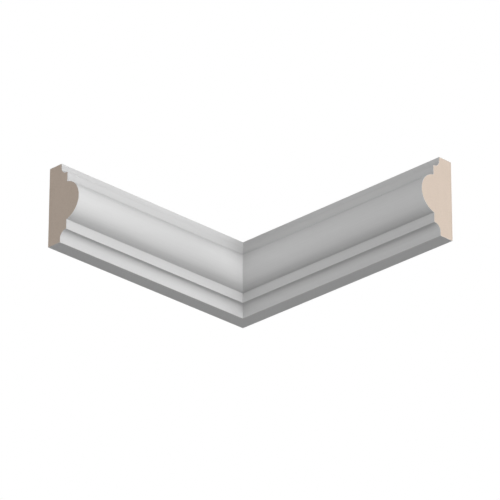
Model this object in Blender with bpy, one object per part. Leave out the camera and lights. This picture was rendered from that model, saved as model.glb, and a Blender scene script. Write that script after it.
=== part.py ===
"""Decorative bead moulding: two lengths, mitred together for an inside corner of a room.

Both lengths have the same section, which is the same either way up: a flat back for the wall,
a thin plain edge, a cove, a flat fascia and, in the middle, a large round bead.
The right length runs along +X and the left length along -Y from the corner of the walls.
The origin is at the middle of the pair's footprint, on its underside. Units are metres.
"""

import math

import bmesh
import bpy
from mathutils import Vector

# Section: heights are from the underside, depths are from the wall
HEIGHT = 0.080
EDGE_DEPTH = 0.016
FASCIA_DEPTH = 0.024
BEAD_DEPTH = 0.040
BEAD_RADIUS = 0.0195
COVE_RADIUS = 0.007
EDGE_HEIGHT = 0.004

# Lengths, from the corner of the walls to the square end
RIGHT_RUN = 0.270
LEFT_RUN = 0.250

# The glue line between the two mitred faces
MITRE_GAP = 0.0003

# How finely the round stretches are faceted
BEAD_STEPS = 40
COVE_STEPS = 10

# A cutter is larger than the section in every direction
CUTTER_SIZE = 2 * HEIGHT

# A face that leans less than this from flat joins its neighbour in one smooth surface
SMOOTH_ANGLE = math.radians(30)
WELD_DISTANCE = 0.00001

# Slots of each length's mesh. The board is first, so that a sawn mitre face shows it.
BOARD_SLOT = 0
PRIMER_SLOT = 1
BOARD_COLOUR = (0.62, 0.53, 0.44, 1.0)
BOARD_ROUGHNESS = 0.9
PRIMER_COLOUR = (0.78, 0.78, 0.78, 1.0)
PRIMER_ROUGHNESS = 0.55

CORNER = Vector((-RIGHT_RUN / 2, LEFT_RUN / 2, 0))


def clear_scene():
    for obj in list(bpy.data.objects):
        bpy.data.objects.remove(obj, do_unlink=True)


def add_collection(name):
    collection = bpy.data.collections.new(name)
    bpy.context.scene.collection.children.link(collection)
    return collection


def make_material(name, colour, roughness):
    material = bpy.data.materials.new(name)
    material.use_nodes = True
    shader = material.node_tree.nodes["Principled BSDF"]
    shader.inputs["Base Color"].default_value = colour
    shader.inputs["Roughness"].default_value = roughness
    shader.inputs["Metallic"].default_value = 0.0
    return material


def arc(centre, radius, start, end, steps):
    """Points on an arc, both ends included. Angles are in degrees, turning from depth to height."""
    points = []
    for step in range(steps + 1):
        angle = math.radians(start + (end - start) * step / steps)
        points.append((centre[0] + radius * math.cos(angle), centre[1] + radius * math.sin(angle)))
    return points


def section():
    """The moulding's outline as (depth, height) points, from the foot of the back round to its top."""
    cove = arc((EDGE_DEPTH + COVE_RADIUS, EDGE_HEIGHT), COVE_RADIUS, 180, 90, COVE_STEPS)
    lower = [(0, 0), (EDGE_DEPTH, 0), *cove, (FASCIA_DEPTH, EDGE_HEIGHT + COVE_RADIUS)]
    upper = [(depth, HEIGHT - height) for depth, height in reversed(lower)]
    centre_depth = BEAD_DEPTH - BEAD_RADIUS
    spring = math.degrees(math.acos((FASCIA_DEPTH - centre_depth) / BEAD_RADIUS))
    bead = arc((centre_depth, HEIGHT / 2), BEAD_RADIUS, -spring, spring, BEAD_STEPS)
    return lower + bead + upper


def curve_to_mesh(curve_object, name):
    """A mesh object with the curve's evaluated shape and place. The curve is removed."""
    evaluated = curve_object.evaluated_get(bpy.context.evaluated_depsgraph_get())
    mesh = bpy.data.meshes.new_from_object(evaluated)
    mesh.name = name
    welded = bmesh.new()
    welded.from_mesh(mesh)
    bmesh.ops.remove_doubles(welded, verts=welded.verts, dist=WELD_DISTANCE)
    bmesh.ops.recalc_face_normals(welded, faces=welded.faces)
    welded.to_mesh(mesh)
    welded.free()
    obj = bpy.data.objects.new(name, mesh)
    obj.matrix_world = curve_object.matrix_world.copy()
    bpy.data.objects.remove(curve_object, do_unlink=True)
    return obj


def finish_faces(mesh, board, primer):
    """Primer on everything but the back and the two ends, which are bare board."""
    mesh.materials.clear()
    mesh.materials.append(board)
    mesh.materials.append(primer)
    for face in mesh.polygons:
        is_end = abs(face.normal.z) > 0.5
        is_back = face.normal.x < -0.5
        face.material_index = BOARD_SLOT if is_end or is_back else PRIMER_SLOT
    mesh.shade_smooth()
    mesh.set_sharp_from_angle(angle=SMOOTH_ANGLE)


def add_length(name, run, place, turn, collection):
    """One length of the section, square at both ends, with its back foot line centred on place."""
    outline = bpy.data.curves.new(name + "_outline", "CURVE")
    outline.dimensions = "2D"
    outline.fill_mode = "BOTH"
    outline.extrude = run / 2
    points = section()
    spline = outline.splines.new("POLY")
    spline.points.add(len(points) - 1)
    for point, (depth, height) in zip(spline.points, points):
        point.co = (depth, height, 0, 1)
    spline.use_cyclic_u = True
    drawn = bpy.data.objects.new(name + "_outline", outline)
    drawn.location = place
    drawn.rotation_euler = (math.radians(90), 0, turn)
    bpy.context.scene.collection.objects.link(drawn)
    bpy.context.view_layer.update()
    length = curve_to_mesh(drawn, name)
    collection.objects.link(length)
    return length


def mitre(length, side, collection):
    """Cuts the length back to the mitre plane. Side is +1 for the right length and -1 for the left."""
    away = Vector((1, 1, 0)).normalized() * side
    centre = CORNER + away * (MITRE_GAP - CUTTER_SIZE) / 2
    bpy.ops.mesh.primitive_cube_add(size=CUTTER_SIZE)
    cutter = bpy.context.object
    cutter.name = length.name + "_mitre_cutter"
    cutter.location = (centre.x, centre.y, HEIGHT / 2)
    cutter.rotation_euler = (0, 0, math.radians(45))
    for other in list(cutter.users_collection):
        other.objects.unlink(cutter)
    collection.objects.link(cutter)
    cutter.hide_render = True
    cutter.display_type = "WIRE"
    cut = length.modifiers.new("mitre", "BOOLEAN")
    cut.operation = "DIFFERENCE"
    cut.solver = "EXACT"
    cut.object = cutter


def main():
    clear_scene()
    parts = add_collection("bead_moulding_corner")
    cutters = add_collection("cutters")
    board = make_material("raw_board", BOARD_COLOUR, BOARD_ROUGHNESS)
    primer = make_material("white_primer", PRIMER_COLOUR, PRIMER_ROUGHNESS)

    right = add_length("right_length", RIGHT_RUN, (0, CORNER.y, 0), math.radians(-90), parts)
    left = add_length("left_length", LEFT_RUN, (CORNER.x, 0, 0), 0, parts)
    for length, side in ((right, 1), (left, -1)):
        finish_faces(length.data, board, primer)
        mitre(length, side, cutters)
    bpy.context.view_layer.update()


main()
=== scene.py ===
# %% [markdown]
# # A bead moulding in the corner of a room
#
# The object is a run of decorative moulding, turned round an inside corner. It is two lengths of
# primed fibreboard with the same section, cut at 45 degrees and glued together where the walls meet.
# The other end of each length is cut square, so the bare board shows there.
#
# The lesson builds each length the way it would be done by hand: one long edge is pulled and swung
# round half of the section, the half is mirrored, and the length is then sawn to the mitre.

import math

import bmesh
import bpy
from mathutils import Euler, Matrix, Vector


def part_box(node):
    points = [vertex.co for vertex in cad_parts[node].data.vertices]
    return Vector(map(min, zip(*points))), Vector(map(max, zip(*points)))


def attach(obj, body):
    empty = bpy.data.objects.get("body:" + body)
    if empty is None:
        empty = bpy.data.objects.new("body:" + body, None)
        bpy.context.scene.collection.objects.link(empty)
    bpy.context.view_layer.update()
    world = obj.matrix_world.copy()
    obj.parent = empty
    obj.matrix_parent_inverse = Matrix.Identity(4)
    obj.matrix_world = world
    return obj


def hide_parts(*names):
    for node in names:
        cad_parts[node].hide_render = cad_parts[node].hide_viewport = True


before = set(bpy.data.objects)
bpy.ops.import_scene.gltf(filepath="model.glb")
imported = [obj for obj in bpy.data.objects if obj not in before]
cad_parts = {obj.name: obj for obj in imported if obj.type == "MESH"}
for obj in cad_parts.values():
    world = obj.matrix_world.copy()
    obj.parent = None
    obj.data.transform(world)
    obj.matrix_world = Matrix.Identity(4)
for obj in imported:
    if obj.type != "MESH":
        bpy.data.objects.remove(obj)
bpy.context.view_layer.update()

# %% [markdown]
# ## The sizes
#
# The overall sizes are read from the frame: how high and deep the section is, how long each length
# is, and where the corner of the walls is. The section's own sizes are those that a moulder's knife
# would be ground to: a plain edge, a cove, a flat fascia and a round bead. It is the same either
# way up, so only the lower half of it is ever drawn.

# %% Read the sizes
left_low, left_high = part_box("left_length")
right_low, right_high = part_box("right_length")
HEIGHT = right_high.z - right_low.z
BEAD_DEPTH = right_high.y - right_low.y
CORNER = Vector((left_low.x, right_high.y, right_low.z))
RIGHT_RUN = right_high.x - CORNER.x
LEFT_RUN = CORNER.y - left_low.y

EDGE_DEPTH = 0.016
EDGE_HEIGHT = 0.004
COVE_RADIUS = 0.007
FASCIA_DEPTH = 0.024
BEAD_RADIUS = 0.0195

BEAD_CENTRE_DEPTH = BEAD_DEPTH - BEAD_RADIUS
BEAD_SPRING = math.acos((FASCIA_DEPTH - BEAD_CENTRE_DEPTH) / BEAD_RADIUS)
BEAD_HALF_HEIGHT = BEAD_RADIUS * math.sin(BEAD_SPRING)
print(f"section {1000 * HEIGHT:.1f} x {1000 * BEAD_DEPTH:.1f} mm, ",
      f"right run {1000 * RIGHT_RUN:.1f} mm, left run {1000 * LEFT_RUN:.1f} mm")
print(f"the bead is {2000 * BEAD_HALF_HEIGHT:.1f} mm high where it springs from the fascia")

# %% [markdown]
# ## Working on one thing at a time
#
# An operator works on whatever is selected, so each step first says exactly what that is. These
# helpers clear the selection, and then pick edges or faces by where they are, as the eye would.

# %% Selecting by place
NEAR = 1e-5


def only(obj):
    """Makes obj the one selected and active object."""
    bpy.ops.object.select_all(action="DESELECT")
    obj.select_set(True)
    bpy.context.view_layer.objects.active = obj


def pick_edges(obj, test):
    """In edit mode, selects the edges whose two ends both pass the test, and nothing else."""
    bpy.ops.mesh.select_all(action="DESELECT")
    bpy.ops.mesh.select_mode(type="EDGE")
    cage = bmesh.from_edit_mesh(obj.data)
    for edge in cage.edges:
        edge.select_set(all(test(corner.co) for corner in edge.verts))
    bmesh.update_edit_mesh(obj.data)
    return sum(edge.select for edge in cage.edges)


def pick_faces(obj, test):
    """In edit mode, selects the faces that pass the test, and nothing else."""
    bpy.ops.mesh.select_all(action="DESELECT")
    bpy.ops.mesh.select_mode(type="FACE")
    cage = bmesh.from_edit_mesh(obj.data)
    for face in cage.faces:
        face.select_set(test(face))
    bmesh.update_edit_mesh(obj.data)
    return sum(face.select for face in cage.faces)


def near(value, wanted):
    return abs(value - wanted) < NEAR


# %% [markdown]
# ## Half of the section, folded from one strip
#
# Each length is first modelled on the bench: its back is on the plane y = 0, it runs along X, its
# depth goes towards -Y, and the middle of its height is at z = 0.
#
# The start is a plane, the underside of the moulding. Its back edge is extruded up to the middle of
# the height, which makes half of the back. Its front edge is extruded up for the plain edge, spun
# a quarter turn for the cove, extruded again for the lip and the fascia, and spun round the centre
# of the bead up to its crown. Spin draws a true arc, which a row of typed points would not.

# %% Fold the lower half
COVE_STEPS = 24
BEAD_STEPS = 64


def extrude_edge(move):
    bpy.ops.mesh.extrude_region_move(TRANSFORM_OT_translate={"value": move})


def fold_half(name, start, stop):
    """The lower half of a length that runs from start to stop along X, open at its middle and ends."""
    foot = -HEIGHT / 2
    bpy.ops.object.select_all(action="DESELECT")
    bpy.ops.mesh.primitive_plane_add(size=1, location=(0, 0, 0))
    length = bpy.context.object
    length.name = name
    bpy.ops.object.mode_set(mode="EDIT")
    bpy.ops.transform.resize(value=(stop - start, EDGE_DEPTH, 1))
    bpy.ops.transform.translate(value=((start + stop) / 2, -EDGE_DEPTH / 2, foot))

    pick_edges(length, lambda p: near(p.y, 0))
    extrude_edge((0, 0, HEIGHT / 2))

    pick_edges(length, lambda p: near(p.y, -EDGE_DEPTH))
    extrude_edge((0, 0, EDGE_HEIGHT))
    cove_centre = (0, -EDGE_DEPTH - COVE_RADIUS, foot + EDGE_HEIGHT)
    bpy.ops.mesh.spin(steps=COVE_STEPS, angle=math.radians(-90), center=cove_centre, axis=(1, 0, 0))
    extrude_edge((0, EDGE_DEPTH + COVE_RADIUS - FASCIA_DEPTH, 0))
    extrude_edge((0, 0, HEIGHT / 2 - EDGE_HEIGHT - COVE_RADIUS - BEAD_HALF_HEIGHT))
    bead_centre = (0, -BEAD_CENTRE_DEPTH, 0)
    bpy.ops.mesh.spin(steps=BEAD_STEPS, angle=BEAD_SPRING, center=bead_centre, axis=(1, 0, 0))
    bpy.ops.object.mode_set(mode="OBJECT")
    return length


right_length = fold_half("right_moulding", 0, RIGHT_RUN)
left_length = fold_half("left_moulding", -LEFT_RUN, 0)
for length in (right_length, left_length):
    depths = [corner.co.y for corner in length.data.vertices]
    heights = [corner.co.z for corner in length.data.vertices]
    print(length.name, "half:", len(length.data.polygons), "faces, depth",
          round(-1000 * min(depths), 2), "mm, from", round(1000 * min(heights), 2),
          "to", round(1000 * max(heights), 4), "mm")

# %% [markdown]
# ## Eased arrises and the other half
#
# A cutter leaves an edge that could be felt as sharp, and sanding and primer round it over. Where the
# bead meets the fascia, the primer fills the corner instead. A bevel makes both, and it is done
# now, while each arris is still a single edge. The mirror then makes the upper half and joins it
# at the crown of the bead and in the middle of the back.

# %% Ease the arrises and mirror
ARRIS = 0.0004
ARRIS_SEGMENTS = 4
CREASE = math.radians(20)


def is_arris(edge):
    """An edge along the length where two faces meet at more than a crease."""
    return len(edge.link_faces) == 2 and edge.calc_face_angle() > CREASE


def ease_arrises(length):
    bpy.ops.object.mode_set(mode="EDIT")
    bpy.ops.mesh.select_all(action="DESELECT")
    bpy.ops.mesh.select_mode(type="EDGE")
    cage = bmesh.from_edit_mesh(length.data)
    for edge in cage.edges:
        edge.select_set(is_arris(edge))
    bmesh.update_edit_mesh(length.data)
    eased = sum(edge.select for edge in cage.edges)
    bpy.ops.mesh.bevel(offset=ARRIS, segments=ARRIS_SEGMENTS, affect="EDGES")
    bpy.ops.object.mode_set(mode="OBJECT")
    return eased


def mirror_up(length):
    only(length)
    bpy.ops.object.modifier_add(type="MIRROR")
    mirror = length.modifiers[-1]
    mirror.use_axis = (False, False, True)
    mirror.merge_threshold = NEAR
    bpy.ops.object.modifier_apply(modifier=mirror.name)


for length in (right_length, left_length):
    only(length)
    eased = ease_arrises(length)
    mirror_up(length)
    print(length.name, eased, "arrises eased in each half,", len(length.data.polygons), "faces")

# %% [markdown]
# ## Sawing
#
# The corner end is sawn by a bisect at 45 degrees, which also closes the cut with a face. The
# square end is closed with one face on its outline, and a thin inset in that face is the edge of
# the primer film, which a fine saw leaves standing round the bare board.

# %% Saw the mitre and close the ends
GLUE_LINE = 0.00002
FILM = 0.0002
PRIMED, BARE = 0, 1


def saw_mitre(length, side):
    """Cuts the corner end at 45 degrees. Side is +1 for the right length and -1 for the left."""
    only(length)
    bpy.ops.object.mode_set(mode="EDIT")
    bpy.ops.mesh.select_all(action="SELECT")
    across = Vector((side, 1, 0)).normalized()
    bpy.ops.mesh.bisect(plane_co=across * GLUE_LINE / 2, plane_no=across,
                        use_fill=True, clear_inner=True)
    bpy.ops.object.mode_set(mode="OBJECT")


def close_square_end(length, along):
    """One face on the square end's outline, with the film's edge as an inset ring inside it."""
    bpy.ops.object.mode_set(mode="EDIT")
    edges = pick_edges(length, lambda p: near(p.x, along))
    bpy.ops.mesh.edge_face_add()
    bpy.ops.mesh.inset(thickness=FILM, depth=0)
    bpy.ops.mesh.select_all(action="SELECT")
    bpy.ops.mesh.normals_make_consistent(inside=False)
    bpy.ops.object.mode_set(mode="OBJECT")
    return edges


for length, side, along in ((right_length, 1, RIGHT_RUN), (left_length, -1, -LEFT_RUN)):
    saw_mitre(length, side)
    edges = close_square_end(length, along)
    print(length.name, "square end outlined by", edges, "edges")

# %% [markdown]
# ## Which faces are painted
#
# The face, the top and the underside are primed, and the back, the saw cuts and the glued mitre
# are bare board. Each length gets two material slots, and the bare faces are picked by which way they
# point. The whole length starts in the first slot, the primer.

# %% Give the bare faces their own slot
FACES_BACK = 0.99
STRIP_CORNERS = 4


def bare_face(face, along):
    """The back and the two saw cuts. The film's ring is primed, except along the back's edge."""
    if face.normal.y > FACES_BACK:
        return True
    on_square_end = near(face.calc_center_median().x, along)
    if on_square_end and near(max(corner.co.y for corner in face.verts), 0):
        return True
    return len(face.verts) > STRIP_CORNERS


def assign_slots(length, along):
    only(length)
    bpy.ops.object.material_slot_add()
    bpy.ops.object.material_slot_add()
    bpy.ops.object.mode_set(mode="EDIT")
    bare = pick_faces(length, lambda face: bare_face(face, along))
    length.active_material_index = BARE
    bpy.ops.object.material_slot_assign()
    bpy.ops.object.mode_set(mode="OBJECT")
    return bare


for length, along in ((right_length, RIGHT_RUN), (left_length, -LEFT_RUN)):
    bare = assign_slots(length, along)
    print(length.name, bare, "bare faces of", len(length.data.polygons))

# %% [markdown]
# ## Smooth where it was turned, sharp where it was sawn
#
# The cove, the bead and the eased arrises should shade as true curves, and the saw cuts should
# keep a crisp edge, so faces are smoothed only where they meet at a small angle. The Weighted Normal
# modifier then keeps the wide flats flat in the light, right up to each eased arris.

# %% Shade the lengths
SMOOTH_BELOW = math.radians(30)


def shade(length):
    only(length)
    bpy.ops.object.shade_smooth_by_angle(angle=SMOOTH_BELOW)
    bpy.ops.object.modifier_add(type="WEIGHTED_NORMAL")
    weighted = length.modifiers[-1]
    weighted.keep_sharp = True
    weighted.weight = 100
    bpy.ops.object.modifier_apply(modifier=weighted.name)


for length in (right_length, left_length):
    shade(length)
    print(length.name, "is smooth below", round(math.degrees(SMOOTH_BELOW)), "degrees")

# %% [markdown]
# ## Off the bench and into the corner
#
# The right length only moves to the corner of the walls. The left one also turns a quarter turn,
# so that its back is on the other wall. The move is applied to the mesh, so both objects sit at
# the origin, unturned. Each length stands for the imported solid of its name.

# %% Place the lengths
LEFT_TURN = math.radians(90)
MIDDLE = CORNER + Vector((0, 0, HEIGHT / 2))


def set_in_corner(length, turn, node):
    only(length)
    length.rotation_euler = (0, 0, turn)
    length.location = MIDDLE
    bpy.ops.object.transform_apply(location=True, rotation=True, scale=True)
    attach(length, "root")
    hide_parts(node)


set_in_corner(right_length, 0, "right_length")
set_in_corner(left_length, LEFT_TURN, "left_length")
for length in (right_length, left_length):
    corners = [corner.co for corner in length.data.vertices]
    for axis, letter in enumerate("xyz"):
        along = [1000 * corner[axis] for corner in corners]
        print(f"{length.name} {letter} from {min(along):.2f} to {max(along):.2f} mm")

# %% [markdown]
# ## Shader sums written as sums
#
# A pattern that changes over a surface is worked out by nodes, and most of it is arithmetic. This
# class wraps the output of a node, so that the arithmetic can be written in Python: a sum or a product
# of wires adds the Math node for it. Every other node comes from the one method called node.

# %% A wire that can be reckoned with
class Wire:
    """The output of a node in a material or a world, or a node tree with no output picked yet."""

    def __init__(self, tree, socket=None):
        self.tree = tree
        self.socket = socket

    def node(self, kind, settings, inputs, output=0):
        """Adds a node, makes its settings, fills its sockets with values or wires, picks an output."""
        made = self.tree.nodes.new(kind)
        for name, setting in settings.items():
            if name == "stops":
                self.set_stops(made.color_ramp, setting)
            else:
                setattr(made, name, setting)
        for name, value in inputs.items():
            if isinstance(value, Wire):
                self.tree.links.new(made.inputs[name], value.socket)
            else:
                made.inputs[name].default_value = value
        return Wire(self.tree, made.outputs[output])

    def set_stops(self, ramp, stops):
        """A new ramp has two stops, which take the outer colours. The others go in between."""
        for element, (position, colour) in zip(ramp.elements, (stops[0], stops[-1])):
            element.position = position
            element.color = colour
        for position, colour in stops[1:-1]:
            ramp.elements.new(position).color = colour

    def math(self, operation, *others):
        return self.node("ShaderNodeMath", {"operation": operation}, dict(enumerate((self, *others))))

    def __add__(self, other):
        return self.math("ADD", other)

    def __sub__(self, other):
        return self.math("SUBTRACT", other)

    def __mul__(self, other):
        return self.math("MULTIPLY", other)

    def __neg__(self):
        return self * -1

    def __rsub__(self, other):
        return -self + other

    __radd__ = __add__
    __rmul__ = __mul__

    def size(self):
        """The value without its sign."""
        return self.math("ABSOLUTE")

    def swing(self, amount):
        """Noise from 0 to 1, made to swing by half of an amount either side of nothing."""
        return (self - 0.5) * amount

    def fade(self, start, stop):
        """1 up to start, easing to 0 at stop."""
        limits = {"From Min": start, "From Max": stop, "To Min": 1.0, "To Max": 0.0}
        return self.node("ShaderNodeMapRange", {"interpolation_type": "SMOOTHSTEP"},
                         {"Value": self, **limits})

    def rise(self, start, stop):
        """0 up to start, easing to 1 at stop."""
        return 1 - self.fade(start, stop)

    def axes(self):
        return [self.node("ShaderNodeSeparateXYZ", {}, {"Vector": self}, axis) for axis in range(3)]

    def noise(self, pitch, detail=2.0, stretch=(1, 1, 1)):
        """Soft noise from 0 to 1, in blotches about pitch metres across, drawn out by stretch."""
        scales = [1 / (pitch * factor) for factor in stretch]
        place = self.node("ShaderNodeVectorMath", {"operation": "MULTIPLY"}, {0: self, 1: scales})
        return self.node("ShaderNodeTexNoise", {}, {"Vector": place, "Scale": 1.0, "Detail": detail})

    def ramp(self, stops):
        """The colour at this value, between (value, colour) stops."""
        return self.node("ShaderNodeValToRGB", {"stops": stops}, {0: self})

    def blend(self, first, second):
        """Mixes two colours by this value: first at 0 and second at 1."""
        return self.node("ShaderNodeMix", {"data_type": "RGBA"}, {0: self, 6: first, 7: second}, 2)

    def brighten(self, colour):
        """A colour times this value."""
        return self.node("ShaderNodeVectorMath", {"operation": "SCALE"}, {0: colour, "Scale": self})

    def bump(self):
        """The surface normal over a relief that is given in metres."""
        return self.node("ShaderNodeBump", {}, {"Strength": 1.0, "Distance": 1.0, "Height": self})

    def distance(self, behind, up):
        """How far two distances, back and up, put a point from a line along the run."""
        across = self.node("ShaderNodeCombineXYZ", {}, {0: 0.0, 1: behind, 2: up})
        return across.node("ShaderNodeVectorMath", {"operation": "LENGTH"}, {0: across}, "Value")


print("wires can be added, subtracted and multiplied, also with plain numbers")

# %% [markdown]
# ## Patterns laid on the bench
#
# A pattern should follow the run of a length, as the tools did that left it. Both lengths were made
# on the bench and then moved, so each finish first undoes the move: a Mapping node of type Texture
# works backwards, and turns the Object coordinates into the bench's. There the run is x, the
# depth is -y, and the height is counted from the middle of the section.

# %% Start and finish a material
def new_finish(name, turn):
    """A new material, and its coordinates as they were on the bench, whatever the length's turn."""
    finish = bpy.data.materials.new(name)
    finish.use_nodes = True
    place = Wire(finish.node_tree).node("ShaderNodeTexCoord", {}, {}, "Object")
    place = place.node("ShaderNodeMapping", {"vector_type": "TEXTURE"},
                       {"Vector": place, "Location": MIDDLE, "Rotation": (0, 0, turn)})
    return finish, place


def finish_surface(finish, values, wires):
    """Sets the plain values of the material's own shader, and links what varies over the surface."""
    shader = finish.node_tree.nodes["Principled BSDF"]
    for name, value in values.items():
        shader.inputs[name].default_value = value
    for name, wire in wires.items():
        finish.node_tree.links.new(shader.inputs[name], wire.socket)


print("the corner's middle, in metres:", [round(v, 4) for v in MIDDLE])

# %% [markdown]
# ## White primer
#
# The factory sprays a water-based primer on the moulded board and sands it with shaped pads. From a
# step away it is an even, slightly chalky white. Light and shade are painted into it: the proud face
# of the bead is painted whitest, as a painted highlight, and the foot of the bead and the top of the
# cove are painted a little greyer, as painted shade in the folds. Below the bead most of that painted
# shade lies on the foot of the bead, and less of it on the fascia. On each arris the primer is rubbed
# so thin that the board warms it. In the inside corner the primer is painted darker from the bead's
# crown upwards, as painted shade, most on the left length. Close up there is a faint orange peel, the
# knife's ripple under the paint, fine lines along the run from the sanding, and a few nicks where the
# saw left the square end.
#
# A picture of paint could not follow the section. The bench coordinates can: depth and height say
# which part of the section a point is on, and noise stretched along the run makes the lines.

# %% Painted light and shade on the primer, and its rubbed arrises
# Painted light on the bead's crown, and painted shade in the fold at the bead's foot and at the top of
# the cove.
PROUD_FROM, PROUD_FULL, CROWN_PAINTED_LIGHT = 0.005, 0.011, 0.11
FOLD_REACH, FOLD_PAINTED_SHADE = 0.0045, 0.11
FOOT_SHARE, FASCIA_SHARE = 1.25, 0.5
FOOT_EDGE, MIDDLE_EDGE = 0.0006, 0.001
COVE_FROM, COVE_PAINTED_SHADE = 0.002, 0.12
LIP_FADE = 0.0002
# Painted shade in the inside corner, from the bead's crown upwards.
CORNER_SHADE_REACH = 0.028
CORNER_SHADE_FROM, CORNER_SHADE_FULL = -0.9 * BEAD_RADIUS, 0.7 * BEAD_RADIUS
RUB_REACH = 2.5 * ARRIS


def painted_section_light(depth, up):
    """How much lighter or darker the primer is painted at a place in the section than on the flats: a
    painted highlight on the bead's crown, painted shade in the fold at the bead's foot and at the top
    of the cove.
    """
    proud = depth.rise(FASCIA_DEPTH + PROUD_FROM, FASCIA_DEPTH + PROUD_FULL)
    fold = depth.distance(depth - FASCIA_DEPTH, up.size() - BEAD_HALF_HEIGHT).fade(0, FOLD_REACH)
    on_bead = depth.rise(FASCIA_DEPTH, FASCIA_DEPTH + FOOT_EDGE)
    share = on_bead * (FOOT_SHARE - FASCIA_SHARE) + FASCIA_SHARE
    below = up.fade(-MIDDLE_EDGE, MIDDLE_EDGE)
    fold = fold * (below * (share - 1.0) + 1.0)
    cove_top = depth.rise(EDGE_DEPTH + COVE_FROM, EDGE_DEPTH + COVE_RADIUS)
    cove_top = cove_top * depth.fade(FASCIA_DEPTH - LIP_FADE, FASCIA_DEPTH)
    # The crown gets a painted highlight, and the fold and the cove's top get painted shade.
    return proud * CROWN_PAINTED_LIGHT - fold * FOLD_PAINTED_SHADE - cove_top * COVE_PAINTED_SHADE


def corner_shade_mask(run, depth, up, top):
    """Painted shade in the inside corner: 1 at the mitre over the top of the bead, fading along the
    run, down the bead and up to top.
    """
    over_bead = up.rise(CORNER_SHADE_FROM, CORNER_SHADE_FULL) * up.fade(BEAD_RADIUS, top)
    return (run.size() - depth).fade(0, CORNER_SHADE_REACH) * over_bead


def rubbed_arrises(depth, height):
    """1 on the lines where two faces meet at an outer edge, fading out beside them."""
    lip = HEIGHT / 2 - EDGE_HEIGHT - COVE_RADIUS
    edges = [(0, HEIGHT / 2), (EDGE_DEPTH, HEIGHT / 2), (FASCIA_DEPTH, lip)]
    return sum(depth.distance(depth - edge_depth, height - edge_height).fade(0, RUB_REACH)
               for edge_depth, edge_height in edges)


print(f"dust reaches {1000 * CORNER_SHADE_REACH:.0f} mm from the mitre, "
      f"and arrises are rubbed for {1000 * RUB_REACH:.1f} mm")

# %% [markdown]
# ## Marks of spraying, sanding and sawing
#
# Most of these marks are a noise at the mark's real size, and the knife's ripple is a sine along the
# run. Each gives a little to the colour, the roughness or the relief. The sanding lines are a
# noise stretched seventy times along the run, and give to all three, as real ones do.

# %% Make the primer
PRIMER_WHITE = (0.64, 0.64, 0.64, 1)
BOARD_TAN = (0.588, 0.492, 0.414, 1)
PRIMER_GLOSS, PRIMER_ROUGH = 0.3, 0.50
CLOUD_PITCH, CLOUD_TONE, CLOUD_ROUGH = 0.035, 0.03, 0.10
LINE_PITCH, LINE_TONE, LINE_ROUGH, LINE_RELIEF = 0.0009, 0.07, 0.10, 0.000015
TOOTH_PITCH, TOOTH_TONE, TOOTH_RELIEF = 0.0003, 0.10, 0.000010
PEEL_PITCH, PEEL_RELIEF = 0.0014, 0.000040
KNIFE_PITCH, KNIFE_WANDER, KNIFE_RELIEF = 0.0014, 5.0, 0.000002
RUB_PITCH, RUB_THROUGH, RUB_SMOOTHER = 0.004, 0.10, 0.05
NICK_REACH, NICK_PITCH, NICK_ROUGH, NICK_RELIEF = 0.0006, 0.0015, 0.3, 0.00008
# How much shade is painted into the inside corner on each length, and how high it reaches.
RIGHT_CORNER_SHADE, RIGHT_CORNER_SHADE_TOP = 0.13, 0.026
LEFT_CORNER_SHADE, LEFT_CORNER_SHADE_TOP = 0.20, 0.070


def make_primer(name, turn, along, corner_shade, corner_shade_top):
    finish, place = new_finish(name, turn)
    run, behind, up = place.axes()
    depth = -behind
    height = up.size()

    cloud = place.noise(CLOUD_PITCH, 2, stretch=(2, 1, 1))
    lines = place.noise(LINE_PITCH, 3, stretch=(70, 1, 1))
    peel = place.noise(PEEL_PITCH, 1)
    tooth = place.noise(TOOTH_PITCH, 2)
    knife = (run * (2 * math.pi / KNIFE_PITCH) + cloud * KNIFE_WANDER).math("SINE")

    worn = place.noise(RUB_PITCH, 3, stretch=(4, 1, 1)).rise(0.4, 0.7)
    rubbed = rubbed_arrises(depth, height) * worn
    from_end = (run - along).size() + tooth.swing(NICK_REACH)
    nicked = from_end.fade(0, NICK_REACH) * place.noise(NICK_PITCH, 2).rise(0.56, 0.64)
    # Painted shade in the inside corner, darkening the primer near the mitre.
    painted_corner_shade = corner_shade_mask(run, depth, up, corner_shade_top) * corner_shade

    grain = cloud.swing(CLOUD_TONE) + lines.swing(LINE_TONE) + tooth.swing(TOOTH_TONE)
    # The primer's brightness carries the painted light and shade of the section and of the corner, and
    # the random tone.
    white = painted_section_light(depth, up) - painted_corner_shade + grain + 1.0
    colour = (rubbed * RUB_THROUGH + nicked).blend(PRIMER_WHITE, BOARD_TAN)
    rough = (cloud.swing(CLOUD_ROUGH) + lines.swing(LINE_ROUGH) - rubbed * RUB_SMOOTHER
             + nicked * NICK_ROUGH + PRIMER_ROUGH)
    relief = (peel * PEEL_RELIEF + lines * LINE_RELIEF + tooth * TOOTH_RELIEF
              + knife * KNIFE_RELIEF - nicked * NICK_RELIEF)
    finish_surface(finish, {"Specular IOR Level": PRIMER_GLOSS},
                   {"Base Color": white.brighten(colour), "Roughness": rough,
                    "Normal": relief.bump()})
    return finish


right_primer = make_primer("primer_along_the_right_wall", 0, RIGHT_RUN,
                           RIGHT_CORNER_SHADE, RIGHT_CORNER_SHADE_TOP)
left_primer = make_primer("primer_along_the_left_wall", LEFT_TURN, -LEFT_RUN,
                          LEFT_CORNER_SHADE, LEFT_CORNER_SHADE_TOP)
print("primer nodes:", len(right_primer.node_tree.nodes))

# %% [markdown]
# ## Bare fibreboard
#
# The saw cuts and the back show the board itself: wood ground to fibres and pressed flat. The press
# lays the fibres parallel to the back, so on a saw cut they are short flecks drawn out along the
# height and packed much closer across the depth. The skin at the back is pressed harder and is
# darker. The mitre saw leaves faint arcs on the cut, round its own centre above the work. On the
# back, some of the primer spray has crept round the long edges.
#
# The fibres are three noises of different sizes. A ramp turns the finest into colour, because the
# fibres themselves are of two kinds: many pale ones and a few brown ones.

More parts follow.
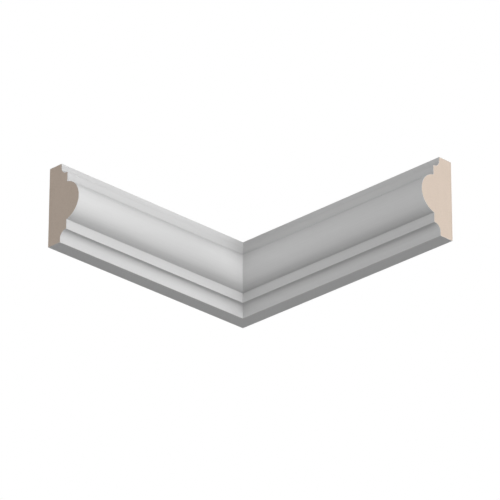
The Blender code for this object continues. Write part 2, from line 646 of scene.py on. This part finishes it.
# %% Make the board
BARK = (0.542, 0.444, 0.364, 1)
PALE_FIBRE = (0.616, 0.517, 0.439, 1)
BOARD_GLOSS, BOARD_ROUGH = 0.25, 0.82
FIBRE_PITCH, FIBRE_ROUGH, FIBRE_RELIEF = 0.00040, 0.12, 0.00003
FLECK_PITCH, FLECK_TONE, FLECK_RELIEF = 0.0009, 0.10, 0.00002
BLOTCH_PITCH, BLOTCH_TONE = 0.012, 0.08
SKIN_DEPTH, SKIN_DARKER = 0.003, 0.05
SAW_PITCH, SAW_WANDER, SAW_TONE, SAW_RELIEF = 0.0011, 9.0, 0.006, 0.000003
SAW_DEPTH, SAW_UP = 0.030, 0.145
SPRAY_REACH, SPRAY_WAVER, SPRAY_FRAY = 0.0035, 0.006, 0.002
SPRAY_COVER, SPRAY_SMOOTHER = 0.85, 0.2
BACK_ONLY = (0.00005, 0.0001)


def make_board(name, turn):
    finish, place = new_finish(name, turn)
    behind, up = place.axes()[1:]
    depth = behind.size()

    fibres = place.noise(FIBRE_PITCH, 3, stretch=(3, 1, 3))
    flecks = place.noise(FLECK_PITCH, 2, stretch=(1.6, 0.6, 1.6))
    blotch = place.noise(BLOTCH_PITCH, 3, stretch=(1.5, 0.7, 1.5))
    skin = depth.fade(0, SKIN_DEPTH)
    from_saw = place.distance(behind + SAW_DEPTH, up - SAW_UP)
    teeth = (from_saw * (2 * math.pi / SAW_PITCH) + blotch * SAW_WANDER).math("SINE")

    from_edge = HEIGHT / 2 - up.size() + blotch.swing(SPRAY_WAVER) + flecks.swing(SPRAY_FRAY)
    spray = from_edge.fade(0, SPRAY_REACH) * depth.fade(*BACK_ONLY)

    colour = fibres.ramp([(0.30, BARK), (0.46, BOARD_TAN), (0.70, PALE_FIBRE)])
    white = (flecks.swing(FLECK_TONE) + blotch.swing(BLOTCH_TONE) - skin * SKIN_DARKER
             + teeth * SAW_TONE + 1.0)
    colour = (spray * SPRAY_COVER).blend(white.brighten(colour), PRIMER_WHITE)
    rough = fibres.swing(FIBRE_ROUGH) - spray * SPRAY_SMOOTHER + BOARD_ROUGH
    relief = fibres * FIBRE_RELIEF + flecks * FLECK_RELIEF + teeth * SAW_RELIEF
    finish_surface(finish, {"Specular IOR Level": BOARD_GLOSS},
                   {"Base Color": colour, "Roughness": rough, "Normal": relief.bump()})
    return finish


right_board = make_board("bare_board_right", 0)
left_board = make_board("bare_board_left", LEFT_TURN)
for length, primer, board in ((right_length, right_primer, right_board),
                              (left_length, left_primer, left_board)):
    length.material_slots[PRIMED].material = primer
    length.material_slots[BARE].material = board
print("board nodes:", len(right_board.node_tree.nodes))

# %% [markdown]
# ## The camera
#
# The moulding is seen from below and from the middle of the room, with a long lens, so the two
# lengths keep nearly the same scale from end to end. The angles, the distance and the lens were
# worked out from the section's straight lines, and the aim is a little above the corner.

# %% Set the camera
CAMERA_AZIMUTH = math.radians(45.157)
CAMERA_ELEVATION = math.radians(-25.624)
CAMERA_ROLL = math.radians(0.098)
CAMERA_DISTANCE = 3.961
AIM_RIGHT = 0.00667
AIM_UP = 0.03834
LENS = 299.3

camera_data = bpy.data.cameras.new("camera")
camera_data.lens = LENS
camera_data.sensor_width = 36
camera_data.clip_end = 100
camera = bpy.data.objects.new("camera", camera_data)
bpy.context.scene.collection.objects.link(camera)
turned = Euler((math.radians(90) - CAMERA_ELEVATION, 0, CAMERA_AZIMUTH)).to_matrix()
turned = turned @ Matrix.Rotation(CAMERA_ROLL, 3, "Z")
aim = MIDDLE + turned @ Vector((AIM_RIGHT, AIM_UP, 0))
camera.location = aim + turned @ Vector((0, 0, CAMERA_DISTANCE))
camera.rotation_euler = turned.to_euler()
bpy.context.scene.camera = camera
print("camera at", [round(v, 4) for v in camera.location])

# %% [markdown]
# ## Light
#
# Plain studio light. Most of it comes level from the right of the room, which makes the left length
# the brighter one. A lamp that faces the right wall and two low ones on the left keep the right
# length from going flat. A high one and a low one on the right and one overhead model the bead and
# the cove. One beyond the right wall and one behind the left wall reach the sawn ends and the backs.
# Each lamp is a sun as wide as a big softbox, so its shadows are soft, and a sun has no place of its
# own, so it never gets in the way of a view.
#
# The world adds a little light from all round. To the camera it is plain white, which a Light Path
# node tells apart from the light that it throws on the moulding.

# %% Set the lights
SOFTBOX_WIDTH = 40
LAMPS = {"softbox right of the room": (75, 0, 1.77),
         "softbox high along the right wall": (105, 40, 0.40),
         "softbox beyond the right wall": (150, 0, 1.57),
         "softbox behind the left wall": (-105, 12, 0.90),
         "softbox facing the right wall": (0, 0, 0.66),
         "softbox low on the right": (120, -40, 0.49),
         "softbox low on the left": (-30, -20, 0.22),
         "softbox lower on the left": (-60, -40, 0.19),
         "softbox overhead": (0, 90, 0.15)}
WORLD_LIGHT = 0.15


def add_softbox(name, azimuth, elevation, strength):
    """A wide sun, seen from the moulding at an azimuth and elevation in degrees."""
    sun_data = bpy.data.lights.new(name, "SUN")
    sun_data.energy = strength
    sun_data.angle = math.radians(SOFTBOX_WIDTH)
    sun = bpy.data.objects.new(name, sun_data)
    sun.rotation_euler = (math.radians(90 - elevation), 0, math.radians(azimuth))
    bpy.context.scene.collection.objects.link(sun)


for lamp, (azimuth, elevation, strength) in LAMPS.items():
    add_softbox(lamp, azimuth, elevation, strength)

world = bpy.data.worlds.new("studio")
bpy.context.scene.world = world
world.use_nodes = True
seen = Wire(world.node_tree).node("ShaderNodeLightPath", {}, {}, "Is Camera Ray")
level = seen * (1 - WORLD_LIGHT) + WORLD_LIGHT
world.node_tree.links.new(world.node_tree.nodes["Background"].inputs["Strength"], level.socket)
world.node_tree.nodes["Background"].inputs["Color"].default_value = (1, 1, 1, 1)
total = sum(strength for azimuth, elevation, strength in LAMPS.values())
print(len(LAMPS), "softboxes, with strengths that add up to", round(total, 2))

# %% [markdown]
# ## Floor
#
# The floor lies far below. It glows a little, as a light table does, and stays a plain pale sheet
# however the lamps are set. It is switched off for the rays that light the moulding, so it throws no
# glow up at the underside. The view transform is Standard, which leaves the tones as the lamps
# set them.

# %% Lay the floor
FLOOR_WHITE = (0.9, 0.9, 0.9, 1)
FLOOR_GLOW = 0.62
FLOOR_DROP = 4.0
FLOOR_SIZE = 60

bpy.ops.object.select_all(action="DESELECT")
bpy.ops.mesh.primitive_plane_add(size=FLOOR_SIZE, location=(0, 0, -FLOOR_DROP))
floor = bpy.context.object
floor.name = "floor"
floor_white = bpy.data.materials.new("floor_white")
floor_white.use_nodes = True
finish_surface(floor_white, {"Base Color": FLOOR_WHITE, "Roughness": 1.0,
                             "Emission Color": (1, 1, 1, 1), "Emission Strength": FLOOR_GLOW}, {})
floor.data.materials.append(floor_white)
floor.visible_diffuse = False
floor.visible_glossy = False
floor.visible_shadow = False

view_settings = bpy.context.scene.view_settings
view_settings.view_transform = "Standard"
view_settings.look = "None"
print("the floor lies", FLOOR_DROP, "m below the corner")
